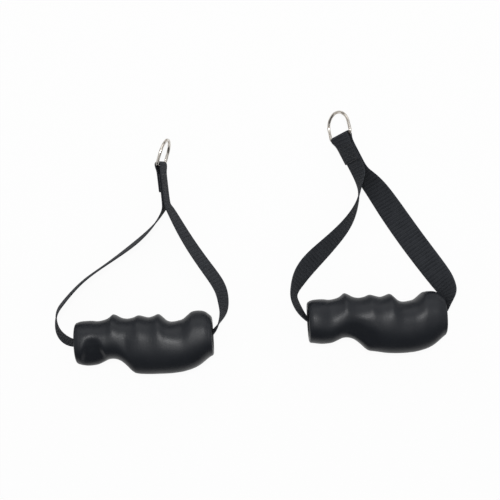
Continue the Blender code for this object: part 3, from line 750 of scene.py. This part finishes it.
# leg points: share of half the grip, share of the reach, face angle, lift; exit points: webbing
# widths past the end and off the axis, face angle, lift; lift is 0 on the floor, 1 at the bore
routes = {
    "right": {
        "reach": 0.1804, "ringStation": -0.341, "lean": 24.3, "face": 62, "foldFace": 52, "lift": 0.05,
        "swing": -20,
        "smallLeg": [
            (-0.105, 0.725, 88, 0.09), (-0.14, 0.64, 81, 0.0), (-0.30, 0.53, 62, 0.0),
            (-0.565, 0.435, 52, 0.05), (-0.845, 0.348, 40, 0.16), (-1.02, 0.283, 43, 0.28),
            (-1.13, 0.222, 57, 0.44)],
        "smallExit": [
            (0.52, 1.19, 74, 0.64), (0.46, 0.88, 74, 0.82), (0.33, 0.57, 75, 0.95),
            (0.17, 0.32, 80, 1.0), (0.0, 0.13, 84, 1.0), (-0.18, 0.01, 86, 1.0),
            (-0.42, 0.0, 86, 1.0), (-0.70, 0.0, 87, 1.0)],
        "hornExit": [
            (-0.60, 0.0, 88, 1.0), (-0.33, 0.0, 89, 1.0), (-0.10, 0.06, 89, 1.0),
            (0.03, 0.19, 88, 1.0), (0.12, 0.40, 86, 0.97), (0.21, 0.64, 76, 0.86),
            (0.28, 0.92, 58, 0.62)],
        "hornLeg": [
            (1.055, 0.174, 34, 0.32), (0.945, 0.243, 20, 0.13), (0.64, 0.413, 15, 0.0),
            (0.35, 0.585, 22, 0.0), (0.16, 0.70, 37, 0.0), (0.02, 0.765, 51, 0.05)],
    },
    "left": {
        "reach": 0.1704, "ringStation": 0.3835, "lean": 2.8, "face": 98, "foldFace": 100, "lift": 0.0,
        "swing": -23,
        "smallLeg": [
            (0.375, 0.73, 92, 0.0), (0.235, 0.655, 96, 0.0), (-0.04, 0.56, 105, 0.0),
            (-0.55, 0.436, 95, 0.08), (-0.82, 0.373, 98, 0.20), (-1.015, 0.308, 101, 0.34),
            (-1.17, 0.243, 103, 0.52)],
        "smallExit": [
            (0.72, 1.34, 104, 0.66), (0.79, 1.02, 102, 0.76), (0.76, 0.66, 96, 0.86),
            (0.60, 0.34, 87, 0.94), (0.34, 0.11, 82, 1.0), (0.08, 0.03, 81, 1.0),
            (-0.20, 0.0, 81, 1.0), (-0.50, 0.0, 81, 1.0)],
        "hornExit": [
            (-0.60, 0.0, 81, 1.0), (-0.33, 0.0, 82, 1.0), (-0.13, 0.02, 83, 1.0),
            (0.02, 0.13, 84, 1.0), (0.17, 0.30, 86, 0.98), (0.31, 0.55, 94, 0.87),
            (0.46, 0.86, 105, 0.68), (0.50, 1.20, 112, 0.50)],
        "hornLeg": [
            (1.17, 0.255, 116, 0.32), (1.08, 0.325, 117, 0.20), (0.88, 0.44, 115, 0.08),
            (0.67, 0.582, 112, 0.0), (0.54, 0.69, 107, 0.0), (0.46, 0.755, 103, 0.0)],
    },
}


def drawnCurve(points):
    # uniform cubic B-spline that starts and ends on its first and last point
    held = [points[0]] * 2 + points + [points[-1]] * 2
    samples = []
    for index in range(len(held) - 3):
        for step in range(curveSteps):
            t = step / curveSteps
            weights = ((1 - t) ** 3, 3 * t**3 - 6 * t**2 + 4, -3 * t**3 + 3 * t**2 + 3 * t + 1, t**3)
            samples.append(sum((p * w for p, w in zip(held[index:], weights)), Vector((0,) * 4)) / 6)
    samples.append(points[-1].copy())
    return samples


def evenSteps(samples, spacing):
    lengths = [0.0]
    for a, b in zip(samples, samples[1:]):
        lengths.append(lengths[-1] + (b.xyz - a.xyz).length)
    count = max(round(lengths[-1] / spacing), 1)
    spaced, index = [], 0
    for step in range(count + 1):
        target = lengths[-1] * step / count
        while index < len(lengths) - 2 and lengths[index + 1] < target:
            index += 1
        gap = lengths[index + 1] - lengths[index]
        share = (target - lengths[index]) / gap if gap > 0 else 0.0
        spaced.append(samples[index].lerp(samples[index + 1], min(share, 1.0)))
    return spaced


def edgeDirection(along, faceDegrees):
    outward = along.cross(Vector((0, 0, 1))).normalized()
    upward = outward.cross(along).normalized()
    face = math.radians(faceDegrees)
    return outward * math.cos(face) + upward * math.sin(face)


def facingOut(along, faceDegrees):
    return along.cross(edgeDirection(along, faceDegrees))


def routeHeight(faceDegrees, lift, boreHeight):
    face = math.radians(faceDegrees)
    flat = halfThick * abs(math.cos(face))
    lying = strip["width"] / 2 * abs(math.sin(face)) + flat + strip["groundGap"]
    return lying + lift * (boreHeight - lying) - boreHeight


def ringLine(cornerSteps, bowSteps):
    # the wire's middle line: one corner, the bow, the other corner; the bar closes it
    half = ringWidth / 2 + wireRadius
    corner = ring["corner"] + wireRadius
    line = arcPoints(half - corner, corner, corner, -90, 90, cornerSteps)
    line += arcPoints(0, ring["innerHeight"] + ring["wire"] - half, half, 0, 180, bowSteps)
    line += arcPoints(corner - half, corner, corner, 180, 90, cornerSteps)
    return [Vector((x, y, 0)) for x, y in line]


def ringPlace(bar, along, face, swing):
    barLine = edgeDirection(along, face)
    bow = Matrix.Rotation(math.radians(swing), 3, barLine) @ along
    columns = Matrix((barLine, bow, barLine.cross(bow))).transposed().to_4x4()
    return Matrix.Translation(bar) @ columns


def headFrame(side):
    # the joined webbing's place, settled until the ring's lowest point touches the floor
    route, boreHeight = routes[side], boreHeights[side]
    lean = math.radians(route["lean"])
    flat = Vector((-math.sin(lean), math.cos(lean), 0))
    bar = Vector((route["ringStation"] * halfLength, route["reach"], 0))
    low = bar - flat * head["joined"]
    low.z = bar.z = routeHeight(route["face"], route["lift"], boreHeight)
    coarse = ringLine(*head["settleSteps"])
    for _ in range(head["settleRounds"]):
        along = (bar - low).normalized()
        place = ringPlace(bar, along, route["foldFace"], route["swing"])
        bar.z += wireRadius - boreHeight - min((place @ point).z for point in coarse)
    return {"bar": bar, "along": along, "across": edgeDirection(along, route["face"]),
            "outer": facingOut(along, route["face"]),
            "ring": ringPlace(bar, along, route["foldFace"], route["swing"])}


def stripRun(points, spacing):
    # places along a smooth run, each with the direction across it
    run = evenSteps(drawnCurve(points), spacing)
    path = []
    for index, place in enumerate(run):
        behind, ahead = run[max(index - 1, 0)].xyz, run[min(index + 1, len(run) - 1)].xyz
        path.append((place.xyz, edgeDirection((ahead - behind).normalized(), place.w)))
    return path


def webbingPath(side, spacing):
    # the middle of the webbing: both legs and the bore, the fold round the bar and the tail
    route, boreHeight = routes[side], boreHeights[side]
    at = headFrame(side)
    bar, along, outer, face, foldFace = at["bar"], at["along"], at["outer"], route["face"], route["foldFace"]
    foldAcross, foldOuter = edgeDirection(along, foldFace), facingOut(along, foldFace)
    layer, wrap, halfTail = outer * layerPitch, foldOuter * foldRadius, head["tail"] / 2
    points, tail = [], []

    def addHead(run, backs, offset, faceDegrees):
        for back in backs:
            run.append(Vector((*(bar - along * back + offset), faceDegrees)))

    def addLeg(key):
        for station, reach, legFace, lift in route[key]:
            height = routeHeight(legFace, lift, boreHeight)
            points.append(Vector((station * halfLength, reach * route["reach"], height, legFace)))

    def addExit(key, facing):
        for beyond, out, exitFace, lift in route[key]:
            station = facing * (halfLength + beyond * strip["width"])
            height = routeHeight(exitFace, lift, boreHeight)
            points.append(Vector((station, out * strip["width"], height, exitFace)))

    addHead(points, (head["tail"] / 3, halfTail, head["tail"], head["joined"]), Vector(), 180 - face)
    addLeg("smallLeg")
    addExit("smallExit", -1)
    addExit("hornExit", 1)
    addLeg("hornLeg")
    addHead(points, (head["joined"], head["tail"], halfTail, head["neck"]), layer, face)
    addHead(points, (foldRadius, 0), wrap, foldFace)
    addHead(tail, (0, foldRadius), -wrap, 180 - foldFace)
    addHead(tail, (head["neck"], halfTail, head["tail"]), -layer, 180 - face)
    path = stripRun(points, spacing)[:-1]
    for step in range(head["foldSteps"] + 1):
        turn = math.pi * step / head["foldSteps"]
        turned = foldOuter * math.cos(turn) + along * math.sin(turn)
        path.append((bar + turned * foldRadius, foldAcross))
    return path + stripRun(tail, spacing)[1:], at


# the sewn box on the joined webbing, as lines across and along the head

sewing = {
    "length": 0.016, "width": 0.019, "endMargin": 0.001,
    "stitch": 0.0023, "gap": 0.00045, "thread": 0.00058,
    "arch": 0.42, "endSink": 1.2, "endTaper": 0.35,
    "pucker": 0.00034, "puckerWidth": 0.0011, "sides": 8, "rings": 7,
}
sewing["middle"] = head["tail"] - sewing["endMargin"] - sewing["length"] / 2


def boxWithCross(halfWidth, halfLong):
    corners = [(-halfWidth, -halfLong), (halfWidth, -halfLong), (halfWidth, halfLong), (-halfWidth, halfLong)]
    box = [(corners[i], corners[(i + 1) % 4]) for i in range(4)]
    return box + [(corners[0], corners[2]), (corners[1], corners[3])]


sewnLines = boxWithCross(sewing["width"] / 2, sewing["length"] / 2)


def distanceToLines(point):
    distances = []
    for (ax, ay), (bx, by) in sewnLines:
        dx, dy = bx - ax, by - ay
        t = ((point[0] - ax) * dx + (point[1] - ay) * dy) / (dx * dx + dy * dy)
        t = min(max(t, 0.0), 1.0)
        distances.append(math.hypot(point[0] - ax - dx * t, point[1] - ay - dy * t))
    return min(distances)


# the webbing itself

clothShape = {
    "spacing": 0.00042, "columns": 14, "edgeSteps": 4,
    "ribDepth": 0.00009, "ribMiddle": 0.6, "edgeThin": 0.72, "edgeBand": 0.0022,
    "sealLength": 0.0012, "sealThin": 0.62,
}


def stripSection():
    # (place across, share of half the thickness) round the section, with rounded edges
    bead = halfThick * clothShape["edgeThin"]
    flatHalf = strip["width"] / 2 - bead
    columns, steps = clothShape["columns"], clothShape["edgeSteps"]
    section = []
    for face in (1, -1):
        for i in range(columns + 1):
            section.append((face * (-flatHalf + 2 * flatHalf * i / columns), float(face)))
        for i in range(1, steps):
            turn = face * math.pi / 2 - math.pi * i / steps
            section.append((face * flatHalf + bead * math.cos(turn), math.sin(turn)))
    return section


def seamPull(point, at, backFromBar):
    # how far the needle pulls the layers together near the sewn lines
    spot = ((point - at["bar"]).dot(at["across"]), sewing["middle"] - backFromBar)
    return math.exp(-((distanceToLines(spot) / sewing["puckerWidth"]) ** 2)) * sewing["pucker"]


def makeWebbing(side):
    path, at = webbingPath(side, clothShape["spacing"])
    section = stripSection()
    half = strip["width"] / 2
    bm = bmesh.new()
    mapLayer = bm.loops.layers.uv.new("stripMap")
    selvage = bm.verts.layers.float.new("selvage")
    lengths = [0.0]
    for (a, _), (b, _) in zip(path, path[1:]):
        lengths.append(lengths[-1] + (b - a).length)
    joinedStart = lengths[-1] - head["tail"] - math.pi * foldRadius - head["joined"]
    rings = []
    for index, (place, across) in enumerate(path):
        behind, ahead = path[max(index - 1, 0)][0], path[min(index + 1, len(path) - 1)][0]
        normal = (ahead - behind).normalized().cross(across).normalized()
        s = lengths[index]
        ribs = abs(math.sin(math.pi * s / weaveLook["ribPitch"])) - clothShape["ribMiddle"]
        sealed = 1 - smoothShare(min(s, lengths[-1] - s) / clothShape["sealLength"])
        seal = 1 - clothShape["sealThin"] * sealed
        backFromBar = -(place - at["bar"]).dot(at["along"])
        onHead = 0.0 < backFromBar < head["joined"] and (s < head["joined"] or s > joinedStart)
        row = []
        for x, h in section:
            point = place + across * x
            edge = smoothShare((abs(x) - half + clothShape["edgeBand"]) / clothShape["edgeBand"])
            thick = halfThick * seal * (1 - (1 - clothShape["edgeThin"]) * edge)
            rise = h * (thick + clothShape["ribDepth"] * ribs * (1 - edge) * seal)
            if onHead:
                # only the faces that look out of the head are drawn in
                sideOfHead = 1 if (point - at["bar"]).dot(at["outer"]) >= 0 else -1
                if normal.dot(at["outer"]) * h * sideOfHead > 0:
                    rise -= math.copysign(seamPull(point, at, backFromBar), h)
            vertex = bm.verts.new(gripFrames[side] @ (point + normal * rise))
            vertex[selvage] = edge
            row.append(vertex)
        rings.append(row)
    acrossMap = [0.0]
    for (x0, h0), (x1, h1) in zip(section, section[1:] + section[:1]):
        acrossMap.append(acrossMap[-1] + math.hypot(x1 - x0, (h1 - h0) * halfThick))
    coverRings(bm, rings, mapLayer, acrossMap, lengths)
    finishPiece(bm, side, "Webbing")
    print(side, "webbing length", round(lengths[-1], 4), "m")
    return at


# thread: one small arched stitch after another along the sewn lines

def addStitch(bm, mapLayer, start, end, at, matrix):
    radius, sides, last = sewing["thread"] / 2, sewing["sides"], sewing["rings"] - 1
    direction = (end - start).normalized()
    beside = Vector((-direction.y, direction.x))
    rings = []
    for step in range(sewing["rings"]):
        t = step / last
        off = abs(2 * t - 1)      # 0 in the stitch's middle, 1 where it dips into the webbing
        lift = sewing["thread"] * sewing["arch"] * (1 - off**4) - radius * sewing["endSink"] * off**4
        size = radius * (1 - sewing["endTaper"] * off**3)
        middle = start.lerp(end, t)
        row = []
        for turn in fullTurn(sides):
            spot = middle + beside * (size * math.cos(turn))
            local = (at["bar"] + at["across"] * spot.x + at["along"] * (spot.y - sewing["middle"])
                     + at["face"] * (at["surface"] + lift + size * math.sin(turn)))
            row.append(bm.verts.new(matrix @ local))
        rings.append(row)
    length = (end - start).length
    coverRings(bm, rings, mapLayer, [i / sides for i in range(sides + 1)],
               [length * step / last for step in range(sewing["rings"])])


def makeStitching(side, kind, facing, at):
    bm = bmesh.new()
    mapLayer = bm.loops.layers.uv.new("stripMap")
    surface = layerPitch + halfThick - sewing["pucker"]
    lie = dict(at, face=at["outer"] * facing, surface=surface)
    pitch = sewing["stitch"] + sewing["gap"]
    halfGap = 0.5 * sewing["gap"] / pitch
    for corner, otherCorner in sewnLines:
        start, end = Vector(corner), Vector(otherCorner)
        count = max(round((end - start).length / pitch), 1)
        for i in range(count):
            a = start.lerp(end, (i + halfGap) / count)
            b = start.lerp(end, (i + 1 - halfGap) / count)
            addStitch(bm, mapLayer, a, b, lie, gripFrames[side])
    finishPiece(bm, side, kind)


# the D-rings, bent wire with a weld in the middle of the bar

wireShape = {
    "sides": 20, "cornerSteps": 8, "bowSteps": 72, "barSteps": 14, "weldSwell": 0.10, "weldLength": 0.0011,
    # how long the painted reflection streaks are along the wire
    "reflectionStreakLength": 0.009,
}


def makeRing(side, at):
    line = ringLine(wireShape["cornerSteps"], wireShape["bowSteps"])
    barSteps = wireShape["barSteps"]
    points = line + [line[-1].lerp(line[0], i / barSteps) for i in range(1, barSteps)]
    matrix = gripFrames[side] @ at["ring"]
    bm = bmesh.new()
    wirePlace = bm.verts.layers.float_vector.new("wirePlace")
    rings = []
    travelled = 0.0
    for index, point in enumerate(points):
        travelled += (point - points[max(index - 1, 0)]).length
        along = (points[(index + 1) % len(points)] - points[index - 1]).normalized()
        inward = Vector((0, 0, 1)).cross(along)
        radius = wireRadius
        if point.y < wireRadius * 0.5:       # on the bar
            radius *= 1 + wireShape["weldSwell"] * math.exp(-((point.x / wireShape["weldLength"]) ** 2))
        row = []
        for turn in fullTurn(wireShape["sides"]):
            offset = inward * (radius * math.cos(turn)) + Vector((0, 0, radius * math.sin(turn)))
            vertex = bm.verts.new(matrix @ (point + offset))
            vertex[wirePlace] = (math.cos(turn), math.sin(turn), travelled / wireShape["reflectionStreakLength"])
            row.append(vertex)
        rings.append(row)
    bridgeRings(bm, rings, closed=True)
    finishPiece(bm, side, "Ring")


for side in sides:
    at = makeWebbing(side)
    makeStitching(side, "OuterStitches", 1, at)
    makeStitching(side, "TailStitches", -1, at)
    makeRing(side, at)
print("webbing, stitches and rings made")


# floor, lamps and world

studio = {
    "floorSize": 6.0, "floorColour": (0.90, 0.90, 0.90), "floorGlow": 0.95, "floorDrop": 0.0002,
    "worldLight": 0.30,
    "reflectedRoom": {"dim": 0.13, "bright": 0.78, "towards": (-0.50, 0.0),
                      "horizon": 0.15, "rising": (0.02, 0.42)},
}
lamps = {
    "keyLamp": {"place": (-0.04, 0.20, 1.30), "aim": (0.0, -0.05, 0.0), "size": (0.20, 0.19), "power": 7.2},
    "softLamp": {"place": (0.0, 1.4, 0.85), "aim": (0.0, 0.0, 0.0), "size": (2.0, 0.9), "power": 6.0},
    "rimLamp": {"place": (1.15, -0.05, 0.55), "aim": (0.1, -0.08, 0.0), "size": (1.1, 0.22), "power": 1.0},
}


def rayKinds(tree):
    # camera rays, and rays that were mirrored or went through something
    path = addNode(tree, "LightPath", {})
    mirrored = mathNode(tree, "MAXIMUM", path["Is Glossy Ray"], path["Is Transmission Ray"])
    return path["Is Camera Ray"], mirrored


def makeFloor(values):
    # white to the camera and in reflections, plain paper for the light that falls on the object
    bm = bmesh.new()
    bmesh.ops.create_grid(bm, x_segments=1, y_segments=1, size=values["floorSize"] / 2)
    mesh = bpy.data.meshes.new("studioFloor")
    bm.to_mesh(mesh)
    bm.free()
    floor = addObject("studioFloor", mesh)
    floor.location.z = -values["floorDrop"]
    material = bpy.data.materials.new("whitePaper")
    material.use_nodes = True
    tree = material.node_tree
    tree.nodes.clear()
    paper = addNode(tree, "BsdfDiffuse", {"Color": values["floorColour"]})[0]
    white = addNode(tree, "Emission", {"Strength": 1.0})[0]
    seen = mathNode(tree, "MAXIMUM", *rayKinds(tree))
    glow = product(tree, seen, values["floorGlow"])
    addNode(tree, "OutputMaterial", {"Surface": addNode(tree, "MixShader", {0: glow, 1: paper, 2: white})[0]})
    mesh.materials.append(material)


def makeLamp(name, values):
    data = bpy.data.lights.new(name, "AREA")
    data.shape = "RECTANGLE"
    data.size, data.size_y = values["size"]
    data.energy = values["power"]
    lamp = addObject(name, data)
    lamp.location = values["place"]
    towards = Vector(values["aim"]) - lamp.location
    lamp.rotation_euler = towards.to_track_quat("-Z", "Y").to_euler()


def makeWorld(values):
    # plain light on the object; in reflections the room is pale above and dim low down and behind
    world = bpy.data.worlds.new("studioWorld")
    bpy.context.scene.world = world
    world.use_nodes = True
    tree = world.node_tree
    background = tree.nodes["Background"]
    background.inputs["Color"].default_value = (1.0, 1.0, 1.0, 1.0)
    room, plain = values["reflectedRoom"], values["worldLight"]
    split = addNode(tree, "SeparateXYZ", {0: addNode(tree, "TexCoord", {})["Generated"]})
    sideways = mapRange(tree, split[1], room["dim"], room["bright"], *room["towards"])
    rising = mapRange(tree, split[2], room["horizon"], 1.0, *room["rising"])
    camera, mirrored = rayKinds(tree)
    reflected = mathNode(tree, "SUBTRACT", product(tree, sideways, rising), plain)
    extra = product(tree, mirrored, reflected)
    seen = product(tree, camera, 1.0 - plain)
    lit = mathNode(tree, "ADD", mathNode(tree, "ADD", extra, seen), plain)
    tree.links.new(lit, background.inputs["Strength"])


makeFloor(studio)
for name, values in lamps.items():
    makeLamp(name, values)
makeWorld(studio)
bpy.context.scene.view_settings.view_transform = "Standard"
print("studio lit")
